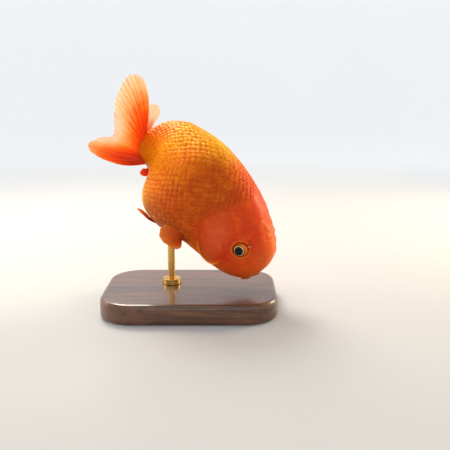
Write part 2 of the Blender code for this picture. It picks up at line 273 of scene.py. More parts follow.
def rootSwell(points):
    total = np.zeros(len(points))
    for first, last, rise, width in finRoots:
        first, run = np.array(first), np.array(last) - np.array(first)
        t = np.clip((bothSides(points) - first) @ run / (run @ run), 0, 1)
        away = np.linalg.norm(bothSides(points) - first - t[:, None] * run, axis=1)
        total += rise * hump(away, 0, width)
    return total


def gillPlace(points):
    dx, dz = points[:, 0] - gill["centre"][0], points[:, 2] - gill["centre"][1]
    c, s = math.cos(math.radians(gill["slant"])), math.sin(math.radians(gill["slant"]))
    ahead, up = dx * c + dz * s, -dx * s + dz * c
    return ahead, up, np.hypot(ahead / gill["radii"][0], up / gill["radii"][1])


def eyePlace(sign):  # its own z looks out of the head
    centre = Vector((eye["centre"][0], eye["centre"][1] * sign, eye["centre"][2]))
    ahead = Matrix.Rotation(math.radians(-sign * eye["forward"]), 4, "Z")
    return Matrix.Translation(centre) @ ahead @ Matrix.Rotation(math.radians(-90 * sign), 4, "X")


def tint(red, green, blue):
    def linear(v):
        v /= 255
        return v / 12.92 if v < 0.04045 else ((v + 0.055) / 1.055) ** 2.4

    return (linear(red), linear(green), linear(blue), 1.0)


def add(tree, kind, inputs=(), **settings):
    made = tree.nodes.new("ShaderNode" + kind)
    for key, value in settings.items():
        setattr(made, key, value)
    for key, value in dict(inputs).items():
        if isinstance(value, bpy.types.NodeSocket):
            tree.links.new(value, made.inputs[key])
        else:
            made.inputs[key].default_value = value
    return made


def calc(tree, operation, a, b=0.0, clamp=False):
    return add(tree, "Math", {0: a, 1: b}, operation=operation, use_clamp=clamp).outputs[0]


def times(tree, product, *others):
    for other in others:
        product = calc(tree, "MULTIPLY", product, other)
    return product


def drifting(tree, amount, cloud, reach):  # amount carried up and down by the cloud
    return calc(tree, "ADD", amount, times(tree, calc(tree, "SUBTRACT", cloud, 0.5), reach))


def between(tree, value, low, high, start=0.0, end=1.0):
    ends = {"Value": value, "From Min": low, "From Max": high, "To Min": start, "To Max": end}
    return add(tree, "MapRange", ends, interpolation_type="SMOOTHSTEP").outputs[0]


def mixed(tree, share, first, second):
    return add(tree, "Mix", {0: share, 6: first, 7: second}, data_type="RGBA").outputs[2]


def painted(tree, base, tones, **amounts):  # each tone laid over those before it
    for name, amount in amounts.items():
        base = mixed(tree, amount, base, tint(*tones[name]))
    return base


def ramp(tree, value, stops):
    made = add(tree, "ValToRGB", {0: value})
    elements = made.color_ramp.elements
    while len(elements) < len(stops):
        elements.new(0.5)
    for element, (place, colour) in zip(elements, stops):
        element.position = place
        element.color = tint(*colour)
    return made.outputs[0]


def grain(tree, where, scale, detail, roughness=0.5, **more):
    inputs = {"Vector": where, "Scale": scale, "Detail": detail, "Roughness": roughness}
    return add(tree, "TexNoise", {**inputs, **more}).outputs["Fac"]


def stored(tree, name):
    return add(tree, "Attribute", attribute_name=name).outputs["Fac"]


def objectPlace(tree):
    return add(tree, "TexCoord").outputs["Object"]


def mapPlace(tree, name):
    spot = add(tree, "SeparateXYZ", {0: add(tree, "UVMap", uv_map=name).outputs[0]})
    return spot.outputs[0], spot.outputs[1]


def bumpUp(tree, shader, height, strength, distance):
    inputs = {"Strength": strength, "Distance": distance, "Height": height}
    normal = add(tree, "Bump", inputs).outputs[0]
    tree.links.new(normal, shader.inputs["Normal"])
    return normal


def newFinish(name, **sockets):
    made = bpy.data.materials.new(name)
    made.use_nodes = True
    shader = made.node_tree.nodes["Principled BSDF"]
    for key, setting in sockets.items():
        shader.inputs[key.replace("_", " ")].default_value = setting
    return made, made.node_tree, shader


fishTones = dict(  # along the fish from snout to tail root, on its back, flank and belly; the light back and the dark belly are partly its own colours, partly painted light and painted shade
    # The back's bright orange at the forehead's top and its yellow towards the tail are partly painted
    # light from above and behind.
    back=(
        (0.00, (236, 112, 18)), (0.09, (250, 116, 8)), (0.17, (246, 96, 8)), (0.30, (238, 68, 4)),
        (0.44, (238, 84, 2)), (0.55, (246, 110, 2)), (0.69, (255, 190, 2)), (0.86, (255, 166, 2)),
        (1.00, (250, 120, 6)),
    ),
    # The flank's darker middle is partly painted shade.
    flank=(
        (0.00, (222, 96, 28)), (0.07, (214, 78, 24)), (0.18, (208, 56, 20)), (0.32, (208, 66, 12)),
        (0.46, (194, 70, 4)), (0.60, (204, 82, 0)), (0.72, (240, 120, 0)), (0.86, (254, 156, 2)),
        (1.00, (248, 104, 6)),
    ),
    # The belly's dark brown middle is partly painted shade, and its yellow bulge at 0.74 partly painted
    # light.
    belly=(
        (0.00, (202, 92, 34)), (0.20, (214, 100, 42)), (0.36, (174, 92, 20)), (0.50, (124, 74, 4)),
        (0.62, (164, 82, 2)), (0.74, (255, 188, 2)), (0.88, (234, 108, 6)), (1.00, (230, 84, 10)),
    ),
    toBack=(0.70, 0.98),  # heights between which the flank turns into the back: 0 belly, 1 back
    toBelly=(0.40, 0.10),
    drift=(0.20, 0.16),  # how far clouds carry the tones along and up
    mottle=0.16, darkMottle=(150, 44, 10), paleMottle=(255, 178, 44),
)


def makeFishColourAndLight():
    # The fish's own colours together with painted light on its back and painted shade on its belly,
    # shared by skin and scales.
    group = bpy.data.node_groups.new("fishColourAndLight", "ShaderNodeTree")
    group.interface.new_socket("Colour", in_out="OUTPUT", socket_type="NodeSocketColor")
    where = objectPlace(group)
    cloud = grain(group, where, 70.0, 4.0, 0.6)
    along, height = (
        drifting(group, stored(group, name), cloud, reach)
        for name, reach in zip(("along", "height"), fishTones["drift"])
    )
    back, flank, belly = (ramp(group, along, fishTones[part]) for part in ("back", "flank", "belly"))
    upper = mixed(group, between(group, height, *fishTones["toBack"]), flank, back)
    whole = mixed(group, between(group, height, *fishTones["toBelly"]), upper, belly)
    spots = grain(group, where, 420.0, 5.0, 0.65)
    spotted = between(group, spots, 0.42, 0.70, 0.0, fishTones["mottle"])
    clouded = between(group, cloud, 0.52, 0.80, 0.0, fishTones["mottle"])
    mottled = painted(group, whole, fishTones, darkMottle=spotted, paleMottle=clouded)
    group.links.new(mottled, group.nodes.new("NodeGroupOutput").inputs[0])
    return group


fishColourAndLight = makeFishColourAndLight()


def fishShade(tree):
    made = tree.nodes.new("ShaderNodeGroup")
    made.node_tree = fishColourAndLight
    return made.outputs[0]


# rounds: how many scales go round the body from each section on. spacing is between rows, in
# widths of a scale, and length is in spacings. Heights are in mm.
scales = dict(
    rounds=((0.0, 40), (10.5, 32), (11.7, 26), (12.7, 20), (13.7, 16)),
    spacing=0.43, length=2.9, width=1.34,
    root=-0.30, tip=0.03, under=-0.32,  # above the body; under is where the head's skin covers them
    thick=0.06, droop=0.045, tube=0.10,  # of a scale, of its sides and of the lateral line's tubes
    fullWidth=4.6,  # smaller scales lie flatter
    uneven=((0.36, 11), (0.46, 12), (0.50, 13)),  # sideways, along and turned, each with its seed
    firstSection=5.3,
    napeEdge=35.5, cheekDip=3.5, napeWave=2.2, edgeWidth=7.5,  # where they come out, behind the snout
    endRows=4,  # that close over the end of the stalk
    apart=4.0,  # in the flat field that they are bent from
)


def roundAt(at):
    starts, counts = np.array(scales["rounds"]).T
    return counts[np.searchsorted(starts, at, side="right") - 1]


def scaleShowing(points):  # 0 where scales lie under the head's skin, 1 where they stand clear
    x, y, z = points.T
    clear = ease(1.04, 1.30, gillPlace(points)[2])
    edge = scales["napeEdge"] - scales["cheekDip"] * ease(-4, -12, z)
    edge = edge + scales["napeWave"] * np.cos(y / 5.2) * ease(24, 30, z)
    return clear * ease(edge, edge + scales["edgeWidth"], -x)


skin = dict(
    segments=240, headStep=0.34, bodyStep=0.62,  # mm between rings on the head and on the body
    capRings=5, capDepth=0.8,
    underScales=0.40, waves=0.16,  # how far it sinks below the scales, and how uneven the rest is
    wen=0.62, wenFurrows=(0.45, 0.30),  # forehead folds, and the furrows across and along them
    poreRows=((9.0, -150, 10, 11), (8.6, 70, 130, 5)),  # about the eye: radius, angles, count
    poreDepth=0.22, poreWidth=0.42,
)
# Tones laid over the skin; the crease tone and the near black are painted shade in furrows, hollows,
# pits and the mouth.
skinTones = dict(
    blotch=(250, 100, 28), cheek=(226, 106, 62), pore=(180, 40, 20), foldShade=(120, 26, 12),
    pale=(250, 206, 170), gold=(250, 150, 40), pitShade=(40, 10, 8),
)


def makeSkinFinish():
    made, tree, shader = newFinish(
        "goldfishSkin", Roughness=0.40, Coat_Weight=0.03, Coat_Roughness=0.20, Specular_IOR_Level=0.09,
        Subsurface_Weight=0.14, Subsurface_Scale=0.0012, Subsurface_Radius=(1.0, 0.30, 0.12),
    )
    where = objectPlace(tree)
    blotch = grain(tree, where, 160.0, 4.0, 0.6)
    pores = add(tree, "TexVoronoi", {"Vector": where, "Scale": 1500.0}).outputs["Distance"]
    base = painted(
        tree, fishShade(tree), skinTones,
        blotch=between(tree, blotch, 0.46, 0.72, 0.0, 0.40),
        cheek=times(tree, stored(tree, "cheek"), 0.40),
        pore=between(tree, pores, 0.28, 0.05, 0.0, 0.16),
        **{name: stored(tree, name) for name in ("foldShade", "pale", "gold", "pitShade")},
    )
    tree.links.new(base, shader.inputs["Base Color"])
    tree.links.new(between(tree, blotch, 0.3, 0.7, 0.34, 0.50), shader.inputs["Roughness"])
    fine = grain(tree, where, 2600.0, 3.0, 0.6)
    soft = grain(tree, where, 520.0, 4.0, 0.55)
    relief = calc(tree, "ADD", times(tree, fine, 0.25), soft)
    relief = calc(tree, "ADD", relief, times(tree, pores, 0.35))
    bumpUp(tree, shader, relief, 0.35, 0.00022)
    return made


# Each of the next functions says how far it pushes the skin out, and adds to the colour marks, among
# them painted shade in its furrows, hollows and pits.
def gillRelief(points, onSide, marks):
    ahead, up, ring = gillPlace(points)
    ring = ring + 0.05 * wobble(points, 9.0, 7)
    forward = ahead / gill["radii"][0]
    rear = ease(0.30, -0.25, forward)
    behind, before = rear * onSide, (1 - rear) * onSide
    # the cover is a raised plate with a furrow behind its free rear edge and softer folds ahead
    furrow = hump(ring, 1.075, 0.045) * behind
    cheekFold = hump(np.hypot((ahead - 1.0) / 5.4, (up + 1.0) / 10.0), 1.0, 0.10)
    # the membrane below it shows as a thin bright flap
    flap = hump(ring, 1.17, 0.035) * ease(-5.5, -10.0, up) * ease(0.9, 0.5, forward)
    # painted shade in the furrow behind the cover and in the groove at its fore edge
    marks["foldShade"] += 0.24 * furrow + 0.04 * hump(ring, 1.0, 0.06) * before
    marks["cheek"] += ease(1.15, 0.15, ring) * onSide
    marks["gold"] += 0.85 * flap
    return (
        gill["raised"] * ease(1.05, 0.80, ring) * behind
        - gill["furrow"] * furrow
        - gill["foreEdge"] * hump(ring, 1.0, 0.08) * before
        - gill["cheekFold"] * cheekFold * ease(-0.1, 0.3, forward) * onSide
        + gill["ridges"] * np.sin(up * 1.15 + 0.25 * ahead) * ease(1.0, 0.7, ring) * behind
        + gill["flap"] * flap
    )


def foreheadRelief(points, height, marks):
    s = -points[:, 0]
    crown = ease(0.74, 0.90, height) * ease(34.0, 24.0, s) * ease(1.0, 6.0, s)
    lumps = wobble(points, 4.2, 1) + 0.5 * wobble(points, 2.0, 2)
    across = hump(s + 2.2 * wobble(points, 9, 3), 12.0, 0.9)
    along = hump(points[:, 1] + 2.0 * wobble(points, 8, 6), 0.0, 0.9)
    # painted shade in the hollows between the lumps
    marks["foldShade"] += 0.10 * crown * ease(-0.1, -0.5, lumps)
    acrossDepth, alongDepth = skin["wenFurrows"]
    return crown * (skin["wen"] * lumps - acrossDepth * across - alongDepth * along)


def poreRelief(points, onSide, marks):  # rows of sense pores under and over the eye
    pits = np.zeros(len(points))
    for radius, first, last, count in skin["poreRows"]:
        for angle in np.radians(np.linspace(first, last, count)):
            x = eye["centre"][0] + radius * math.cos(angle)
            z = eye["centre"][2] - 1 + radius * math.sin(angle)
            away = np.hypot(points[:, 0] - x, points[:, 2] - z)
            pits += hump(away, 0, skin["poreWidth"]) * onSide
    # painted shade in the pores' pits
    marks["foldShade"] += 0.45 * pits
    return -skin["poreDepth"] * pits


def nostrilRelief(points, seen, marks):  # a fore and an aft pit with a pale flap between them
    x, z = points[:, 0] - nostril["centre"][0], points[:, 2] - nostril["centre"][1]
    c, s = nostril["ahead"]
    along, across = x * c + z * s, z * c - x * s
    halfApart = nostril["apart"] / 2
    pits = hump(along, -halfApart, 0.62) + hump(along, halfApart, 0.62)
    pits = pits * hump(across, 0, nostril["radius"])
    flap = hump(along, 0, 0.42) * hump(across, 0, 1.05) * seen
    rim = hump(np.hypot(along / 1.5, across / 1.3), 1.15, 0.28)
    # painted shade, near black, in the nostril pits
    marks["pitShade"] += 0.8 * seen * np.clip(pits - 1.2 * flap, 0, 1)
    marks["pale"] += 0.85 * flap
    return seen * (nostril["rim"] * rim - nostril["depth"] * pits) + nostril["flap"] * flap


def socketPush(points, marks):  # the head sinks a little round the eyeballs behind a soft rim
    push = np.zeros((len(points), 3))
    for side in (-1, 1):
        place = eyePlace(side)
        own = carried(points, place.inverted())
        away = np.hypot(own[:, 0], own[:, 1])
        near = ((points[:, 1] < 0) == (side < 0)) & (own[:, 2] > -6)
        sink = eye["sink"] * ease(8.5, 5.0, away) + eye["pocket"] * ease(4.66, 4.15, away)
        rim = eye["rim"] * hump(away, 5.2, 0.55) + eye["outerRim"] * hump(away, 6.9, 0.8)
        push += (near * (rim - sink))[:, None] * np.array(place.to_3x3() @ Vector((0, 0, 1)))
        marks["gold"] += near * 0.35 * hump(away, 5.0, 0.6)
        # painted shade in the hollow beyond the rim and in the gap round the eyeball
        marks["foldShade"] += near * (0.10 * hump(away, 6.1, 0.4) + 0.35 * ease(4.75, 4.5, away))
    return push


def mouthPush(points, marks):  # round lips about a small open pocket, with a crease outside them
    place = Matrix.Translation(mouth["centre"]) @ Matrix.Rotation(math.radians(mouth["down"]), 4, "Y")
    own = carried(points, place.inverted())
    oval = np.hypot(own[:, 1] / mouth["halfWidth"], own[:, 2] / mouth["halfHeight"])
    near = own[:, 0] > -7
    push = mouth["lip"] * hump(oval, 1.0, 0.34) * (1 + 0.15 * np.sin(own[:, 1] * 2.1))
    push = push - mouth["pocket"] * ease(0.66, 0.25, oval) - mouth["crease"] * hump(oval, 1.70, 0.24)
    # a painted highlight along the lips
    marks["pale"] += near * 0.42 * hump(oval, 0.98, 0.30)
    # painted shade, near black, inside the mouth
    marks["pitShade"] += near * ease(0.58, 0.30, oval)
    # painted shade in the crease outside the lips
    marks["foldShade"] += near * 0.55 * hump(oval, 1.72, 0.22)
    return (near * push)[:, None] * np.array(place.to_3x3() @ Vector((1, 0, 0)))


def makeSkin():
    rows = rowTable(lambda at: np.interp(at, (5.8, 7.2), (skin["headStep"], skin["bodyStep"])))
    cap = skin["capRings"]
    rings = int(math.ceil(rows[-1])) + 2 * cap
    bm = bmesh.new()
    bmesh.ops.create_uvsphere(bm, u_segments=skin["segments"], v_segments=rings, radius=1)
    mesh = newMesh(bm, "goldfishSkin")
    ball = readPoints(mesh)
    ring = np.rint(np.arccos(np.clip(ball[:, 2], -1, 1)) / math.pi * rings)
    turn = np.arctan2(ball[:, 1], ball[:, 0]) / (2 * math.pi) + 0.25
    share = turn + 0.34 * np.sin(4 * math.pi * turn) / (4 * math.pi)  # closer together on the sides
    at = np.interp((ring - cap) / (rings - 2 * cap) * rows[-1], rows, atGrid)
    shrink = np.clip(np.minimum(ring, rings - ring) / cap, 0, 1)
    points = drawnIn(bodyPoint(at, share), at, shrink)
    points[:, 0] += np.where(ring < rings / 2, 1.0, -1.0) * (1 - shrink**2) * skin["capDepth"]
    writePoints(mesh, points)
    normals = readNormals(mesh)

    marks = {name: np.zeros(len(points)) for name in ("foldShade", "pale", "gold", "pitShade", "cheek")}
    scaled = ease(0.3, 1.0, scaleShowing(points))
    onSide = ease(4.0, 9.0, np.abs(points[:, 1]))
    facing = ease(0.30, 0.5, np.abs(normals[:, 1]))
    rise = rootSwell(points) - skin["underScales"] * scaled
    rise += gillRelief(points, onSide, marks)
    rise += foreheadRelief(points, backShare(share), marks)
    rise += poreRelief(points, onSide, marks)
    rise += skin["waves"] * wobble(points, 6.0, 4) * (1 - scaled)
    rise += nostrilRelief(points, onSide * facing, marks)
    pushed = socketPush(points, marks) + mouthPush(points, marks)

    addValues(mesh, along=np.clip(-points[:, 0] / body["length"], 0, 1), height=backShare(share))
    addValues(mesh, **{name: np.clip(amounts, 0, 1) for name, amounts in marks.items()})
    writePoints(mesh, toStand(points + normals * rise[:, None] + pushed))
    names = (
        "head", "gill_cover_right", "gill_cover_left", "upper_lip", "lower_lip", "trunk", "tail_stalk",
    )
    finishPiece(mesh, makeSkinFinish(), names)


makeSkin()
print("skin made")

# The tone at each scale's covered root is painted shade, and the thin pale rim partly a painted
# highlight.
scaleTones = dict(
    blotch=(238, 84, 12), bright=(250, 150, 16), brown=(168, 58, 4), hollow=(140, 42, 2),
    belt=(150, 50, 4), rim=(255, 190, 70), pore=(120, 40, 6),
)


def makeScaleFinish():
    made, tree, shader = newFinish(
        "goldfishScales", Roughness=0.40, Metallic=0.2, Coat_Weight=0.03, Coat_Roughness=0.25,
        Specular_IOR_Level=0.10, Subsurface_Weight=0.08, Subsurface_Scale=0.0010,
        Subsurface_Radius=(1.0, 0.35, 0.12),
    )
    across, along = mapPlace(tree, "scaleFace")
    where = objectPlace(tree)
    own, clear, sheen = (stored(tree, name) for name in ("own", "showing", "sheen"))
    blotch = grain(tree, where, 160.0, 4.0, 0.6)
    # how deep the painted shade between the rows goes, deeper on the back and the rump
    depth = calc(tree, "ADD", times(tree, sheen, 0.20), 0.09)
    belt = times(tree, between(tree, along, 0.78, 0.86), between(tree, along, 0.97, 0.90))
    aside = calc(tree, "ABSOLUTE", calc(tree, "SUBTRACT", across, 0.5))
    level = calc(tree, "ABSOLUTE", calc(tree, "SUBTRACT", along, 0.74))
    pore = times(tree, between(tree, aside, 0.10, 0.02), between(tree, level, 0.12, 0.02, 0.0, 0.75))
    base = painted(
        tree, fishShade(tree), scaleTones,
        blotch=between(tree, blotch, 0.50, 0.75, 0.0, 0.10),
        bright=times(tree, clear, between(tree, own, 0.35, 1.0, 0.0, 0.12)),
        brown=times(tree, clear, between(tree, own, 0.65, 0.0, 0.0, 0.12)),
        # painted shade where each scale dips under the next row
        hollow=times(tree, clear, between(tree, along, 0.66, 0.42), depth),
        belt=times(tree, clear, belt, 0.20),
        # a thin pale free edge: partly its own paler edge, partly a painted highlight
        rim=times(tree, clear, between(tree, along, 0.955, 0.995, 0.0, 0.10)),
        pore=times(tree, clear, pore, stored(tree, "pore")),
    )
    tree.links.new(base, shader.inputs["Base Color"])
    shine = times(tree, clear, sheen, between(tree, along, 0.45, 0.75), 0.14)
    tree.links.new(calc(tree, "ADD", shine, 0.12), shader.inputs["Metallic"])
    spots = grain(tree, where, 700.0, 3.0)
    tree.links.new(between(tree, spots, 0.3, 0.7, 0.42, 0.58), shader.inputs["Roughness"])
    rays, rings = (calc(tree, "SINE", times(tree, *wave)) for wave in ((across, 75.0), (along, 95.0)))
    relief = calc(tree, "ADD", times(tree, rays, 0.5), times(tree, rings, 0.35))
    relief = calc(tree, "ADD", relief, grain(tree, where, 2400.0, 2.0))
    bumpUp(tree, shader, relief, 0.30, 0.00006)
    return made


def scaleField(columns, rows):  # flat scales side by side, each a solid of two units by two
    bm = bmesh.new()
    bmesh.ops.create_grid(bm, x_segments=9, y_segments=3, size=1)
    bmesh.ops.solidify(bm, geom=bm.faces[:], thickness=1)
    one = bpy.data.objects.new("oneScale", newMesh(bm, "oneScale"))
    bpy.context.scene.collection.objects.link(one)
    for axis, repeats in enumerate((columns, rows)):
        field = one.modifiers.new("field", "ARRAY")
        field.count = repeats
        field.use_relative_offset = False
        field.use_constant_offset = True
        field.constant_offset_displace = [scales["apart"] * (k == axis) for k in range(3)]
    ready = one.evaluated_get(bpy.context.evaluated_depsgraph_get())
    spread = bpy.data.meshes.new_from_object(ready)
    bpy.data.objects.remove(one)
    return spread


def makeScales(side, finish):
    rows = rowTable(lambda at: scales["spacing"] * girthAt(at) / roundAt(at))
    firstRow = np.interp(scales["firstSection"], atGrid, rows)
    rowCount = int(rows[-1] - firstRow - 0.6) + scales["endRows"]
    spread = scaleField(scales["rounds"][0][1] // 2, rowCount)
    spread.name = f"scales_{side}"
    flat, apart = readPoints(spread), scales["apart"]
    column, row = np.rint(flat[:, 0] / apart), np.rint(flat[:, 1] / apart)
    across, along = flat[:, 0] - column * apart, (flat[:, 1] - row * apart + 1) / 2
    top = flat[:, 2] > flat[:, 2].mean()

    # where each scale is rooted, and how far out of line it stands
    start = 0.5 if side == "right" else 0.0
    rootAt = np.interp(firstRow + row, rows, atGrid)
    count = roundAt(rootAt)
    rootShare = start + (column + 0.5 * (1 - np.mod(row, 2))) / count
    seeds = np.stack((column, row, np.full(len(row), start * 9)), 1) * 1.37
    own = wobble(seeds, 1.0, 5) + 0.5
    aside, onward, twist = (amount * wobble(seeds, 1.9, seed) for amount, seed in scales["uneven"])

    # its outline on the body, drawn in over the end of the stalk
    reach = along * (1 - 0.68 * np.abs(across) ** 2.3)
    narrow = 0.80 + 0.20 * ease(0, 0.5, along)
    share = rootShare + (across * narrow * scales["width"] / 2 + aside) / count
    number = firstRow + row + onward + reach * scales["length"] + twist * across
    at = np.interp(number, rows, atGrid)
    past = np.clip((number - rows[-1]) * 2 * math.pi * scales["spacing"] / count, 0, 0.95)
    points = drawnIn(bodyPoint(at, share), at, 1 - past)
    points[:, 0] -= skin["capDepth"] * (1 - (1 - past) ** 2)
    normals = unit(bodyNormal(at, share) - 6 * past[:, None] * np.array((1.0, 0.0, 0.0)))

    # its height, with a low tube on the scales of the lateral line
    size = np.minimum(girthAt(rootAt) / count / scales["fullWidth"], 1)
    lift = scales["root"] + (scales["tip"] - scales["root"]) * reach**0.9
    lift = lift - scales["droop"] * across**2 * (0.4 + 0.6 * along)
    lift = lift - np.where(top, 0.0, scales["thick"])
    lift = lift * (0.35 + 0.65 * size) + 0.05 * (own - 0.5)
    onLine = np.abs(np.mod(rootShare, 0.5) - 0.25) < 0.4 / count
    lift = lift + (onLine & top) * scales["tube"] * hump(across, 0, 0.35) * ease(0.3, 0.5, along)
    showing = scaleShowing(points)
    lift = lift * showing + scales["under"] * (1 - showing)
    points = points + normals * (lift + rootSwell(points))[:, None]

    s, rootHeight = -bodyPoint(rootAt, rootShare)[:, 0] / body["length"], backShare(rootShare)
    golden = ease(0.42, 0.72, s) * ease(0.10, 0.35, rootHeight) + 0.5 * ease(0.6, 0.9, rootHeight)
    addValues(
        spread, along=np.clip(-bodyPoint(at, share)[:, 0] / body["length"], 0, 1),
        height=backShare(share), own=np.clip(own, 0, 1), pore=onLine, showing=showing,
        sheen=np.clip(golden, 0, 1),
    )
    addMap(spread, "scaleFace", across * 0.5 + 0.5, along)
    # the OFBake map lays the scales out flat, round the body by along it
    roundHalf = (rootShare - start) * 1.9 + 0.02
    lengthShare = 0.02 + 0.95 * (row / rowCount)
    addMap(spread, "OFBake", roundHalf + across * 0.0015, lengthShare + along * 0.003)
    writePoints(spread, toStand(points))

    # scales under the head's skin are left out, and so are columns past half the body's round
    tipAt = np.interp(firstRow + row + 0.8 * scales["length"], rows, atGrid)
    hidden = scaleShowing(bodyPoint(tipAt, rootShare)) < 0.06
    faceOutward(spread, np.flatnonzero(hidden | (column * 2 >= count)))
    finishPiece(spread, finish)
    return len(spread.polygons)


scaleFinish = makeScaleFinish()
for side in ("right", "left"):
    print("scales made on the", side, makeScales(side, scaleFinish))

eyeTones = dict(
    rings=(  # from the middle of the pupil to the edge of the eyeball
        (0.00, (3, 2, 3)), (0.490, (5, 3, 4)), (0.515, (110, 96, 52)), (0.540, (214, 200, 140)),
        (0.610, (214, 190, 120)), (0.640, (120, 80, 34)), (0.665, (64, 28, 10)),
        (0.720, (188, 80, 10)), (0.860, (232, 116, 14)), (1.000, (206, 64, 10)),
    ),
    streak=(140, 66, 14),
)


def makeEyeFinish():
    made, tree, shader = newFinish(
        "goldfishEye", Roughness=0.24, Coat_Weight=0.22, Coat_Roughness=0.03, Specular_IOR_Level=0.12,
    )
    look = stored(tree, "look")
    streaks = grain(tree, objectPlace(tree), 900.0, 4.0, 0.7)
    iris = between(tree, look, 0.50, 0.54)
    streak = times(tree, iris, between(tree, streaks, 0.45, 0.70, 0.0, 0.5))
    base = painted(tree, ramp(tree, look, eyeTones["rings"]), eyeTones, streak=streak)
    tree.links.new(base, shader.inputs["Base Color"])
    tree.links.new(times(tree, iris, 0.55), shader.inputs["Metallic"])
    bumpUp(tree, shader, streaks, 0.2, 0.00008)
    return made


def makeEye(side, finish):
    bm = bmesh.new()
    bmesh.ops.create_uvsphere(bm, u_segments=72, v_segments=56, radius=1)
    mesh = newMesh(bm, f"eyeball_{side}")
    ball = readPoints(mesh)
    out = np.hypot(ball[:, 0], ball[:, 1])
    front = ball[:, 2] > 0
    up = 1 if side == "right" else -1
    look = np.hypot(ball[:, 0], ball[:, 1] + up * eye["low"])  # from the middle of the pupil
    dome = np.where(front, (1 - np.clip(out, 0, 1) ** 2.7) ** (1 / 2.2), ball[:, 2])
    lens = np.where(front, eye["lens"] * ease(0.56, 0.36, look), 0)  # the pupil bulges a little
    groove = np.where(front, eye["groove"] * hump(look, 0.70, 0.03), 0)
    depth = (dome * eye["dome"] + lens - groove) * eye["depth"]
    own = np.stack((ball[:, 0] * eye["radius"], ball[:, 1] * eye["radius"], depth), 1)
    writePoints(mesh, toStand(carried(own, eyePlace(-1 if side == "right" else 1))))
    addValues(mesh, look=np.where(front, look, 1.0))
    finishPiece(mesh, finish, [f"eye_{side}"])


eyeFinish = makeEyeFinish()
for side in ("right", "left"):
    makeEye(side, eyeFinish)
print("eyes made")

# A fin is a fan of rays given for the right side, in mm. root: feet of first and last ray; rays:
# directions of the first, middle and last; lengths: (share across, length); closing: how far the
# tips bend to the middle; bow: swelling sideways; ripple and folds: depth and number of the large
# and the small waves at the edge; pale: how far the first rays pale.
tailRight = dict(
    root=((-103.0, -1.6, -5.4), (-90.0, -2.6, -14.4)),
    rays=((-0.64, -0.23, 0.73), (-0.84, -0.46, -0.28), (-0.52, -0.45, -0.72)),
    closing=0.07, bow=3.0, ripple=(0.8, 2.0),
    lengths=(
        (0.0, 29.0), (0.05, 37.0), (0.13, 41.5), (0.24, 35.0), (0.38, 25.5), (0.54, 22.0),
        (0.68, 31.0), (0.8, 34.5), (0.91, 28.5), (1.0, 17.0),
    ),
    rayCount=20, perRay=9, along=56, rootThick=1.2, folds=(0.35, 7.0),
)
tailLeft = dict(
    root=((-103.0, -1.6, -5.4), (-90.0, -2.6, -14.4)),
    rays=((-0.37, -0.89, 0.28), (-0.82, -0.56, 0.10), (-0.44, -0.21, -0.87)),
    closing=0.0, bow=-3.0, ripple=(1.0, 2.0),
    lengths=(
        (0.0, 20.0), (0.05, 28.0), (0.13, 35.5), (0.24, 36.0), (0.38, 30.0), (0.54, 22.5),
        (0.68, 26.0), (0.8, 28.0), (0.91, 25.5), (1.0, 16.0),
    ),
    rayCount=20, perRay=9, along=56, rootThick=1.2, folds=(0.35, 7.0), pale=1.0,
)
pectoral = dict(
    root=((-38.6, -18.2, -12.0), (-41.4, -14.8, -16.2)),
    rays=((-0.88, -0.38, -0.28), (-0.20, -0.72, -0.66), (0.62, -0.66, -0.15)),
    closing=0.05, bow=1.5, ripple=(0.4, 2.0),
    lengths=((0.0, 16.0), (0.2, 17.0), (0.5, 13.0), (0.75, 11.0), (1.0, 8.5)),
    rayCount=14, perRay=8, along=34, rootThick=0.6, folds=(0.15, 5.0),
)
pelvic = dict(
    root=((-54.6, -8.8, -24.7), (-57.2, -3.2, -26.1)),
    rays=((-0.93, -0.30, -0.20), (-0.95, -0.18, -0.25), (-0.96, -0.02, -0.28)),
    closing=0.05, bow=2.2, ripple=(0.2, 1),
    lengths=((0.0, 13.0), (0.25, 16.0), (0.55, 15.0), (0.8, 12.0), (1.0, 8.0)),
    rayCount=9, perRay=8, along=30, rootThick=0.35, folds=(0.1, 3.0),
)
anal = dict(
    root=((-82.6, -2.7, -15.6), (-86.4, -2.2, -14.2)),
    rays=((-0.46, -0.30, -0.83), (-0.55, -0.30, -0.78), (-0.70, -0.28, -0.66)),
    closing=0.05, bow=0.4, ripple=(0.2, 1.0),
    lengths=((0.0, 3.8), (0.3, 5.6), (0.65, 5.2), (1.0, 3.4)),
    rayCount=7, perRay=8, along=24, rootThick=0.2, folds=(0.05, 2.0),
)
finTones = dict(  # each fin from root to tip, then what is laid over all of them
    tail=(
        (0.00, (214, 54, 2)), (0.18, (234, 78, 2)), (0.38, (246, 110, 4)), (0.58, (250, 144, 22)),
        (0.80, (252, 196, 112)), (1.00, (252, 226, 184)),
    ),
    low=(
        (0.00, (186, 62, 4)), (0.30, (204, 82, 4)), (0.65, (224, 108, 8)), (0.90, (236, 142, 34)),
        (1.00, (244, 176, 84)),
    ),
    anal=((0.00, (214, 40, 2)), (0.60, (238, 62, 6)), (1.00, (250, 108, 32))),
    light=(255, 180, 84), deep=(230, 76, 4), ray=(224, 78, 6),
)
membrane = dict(
    web=(0.19, 0.09), ray=(0.16, 0.07),  # half thicknesses in mm at root and tip
    edge=0.35,  # share of them left at the fin's edge
    ragged=0.018, notched=0.014,  # shares of the rays' length
)


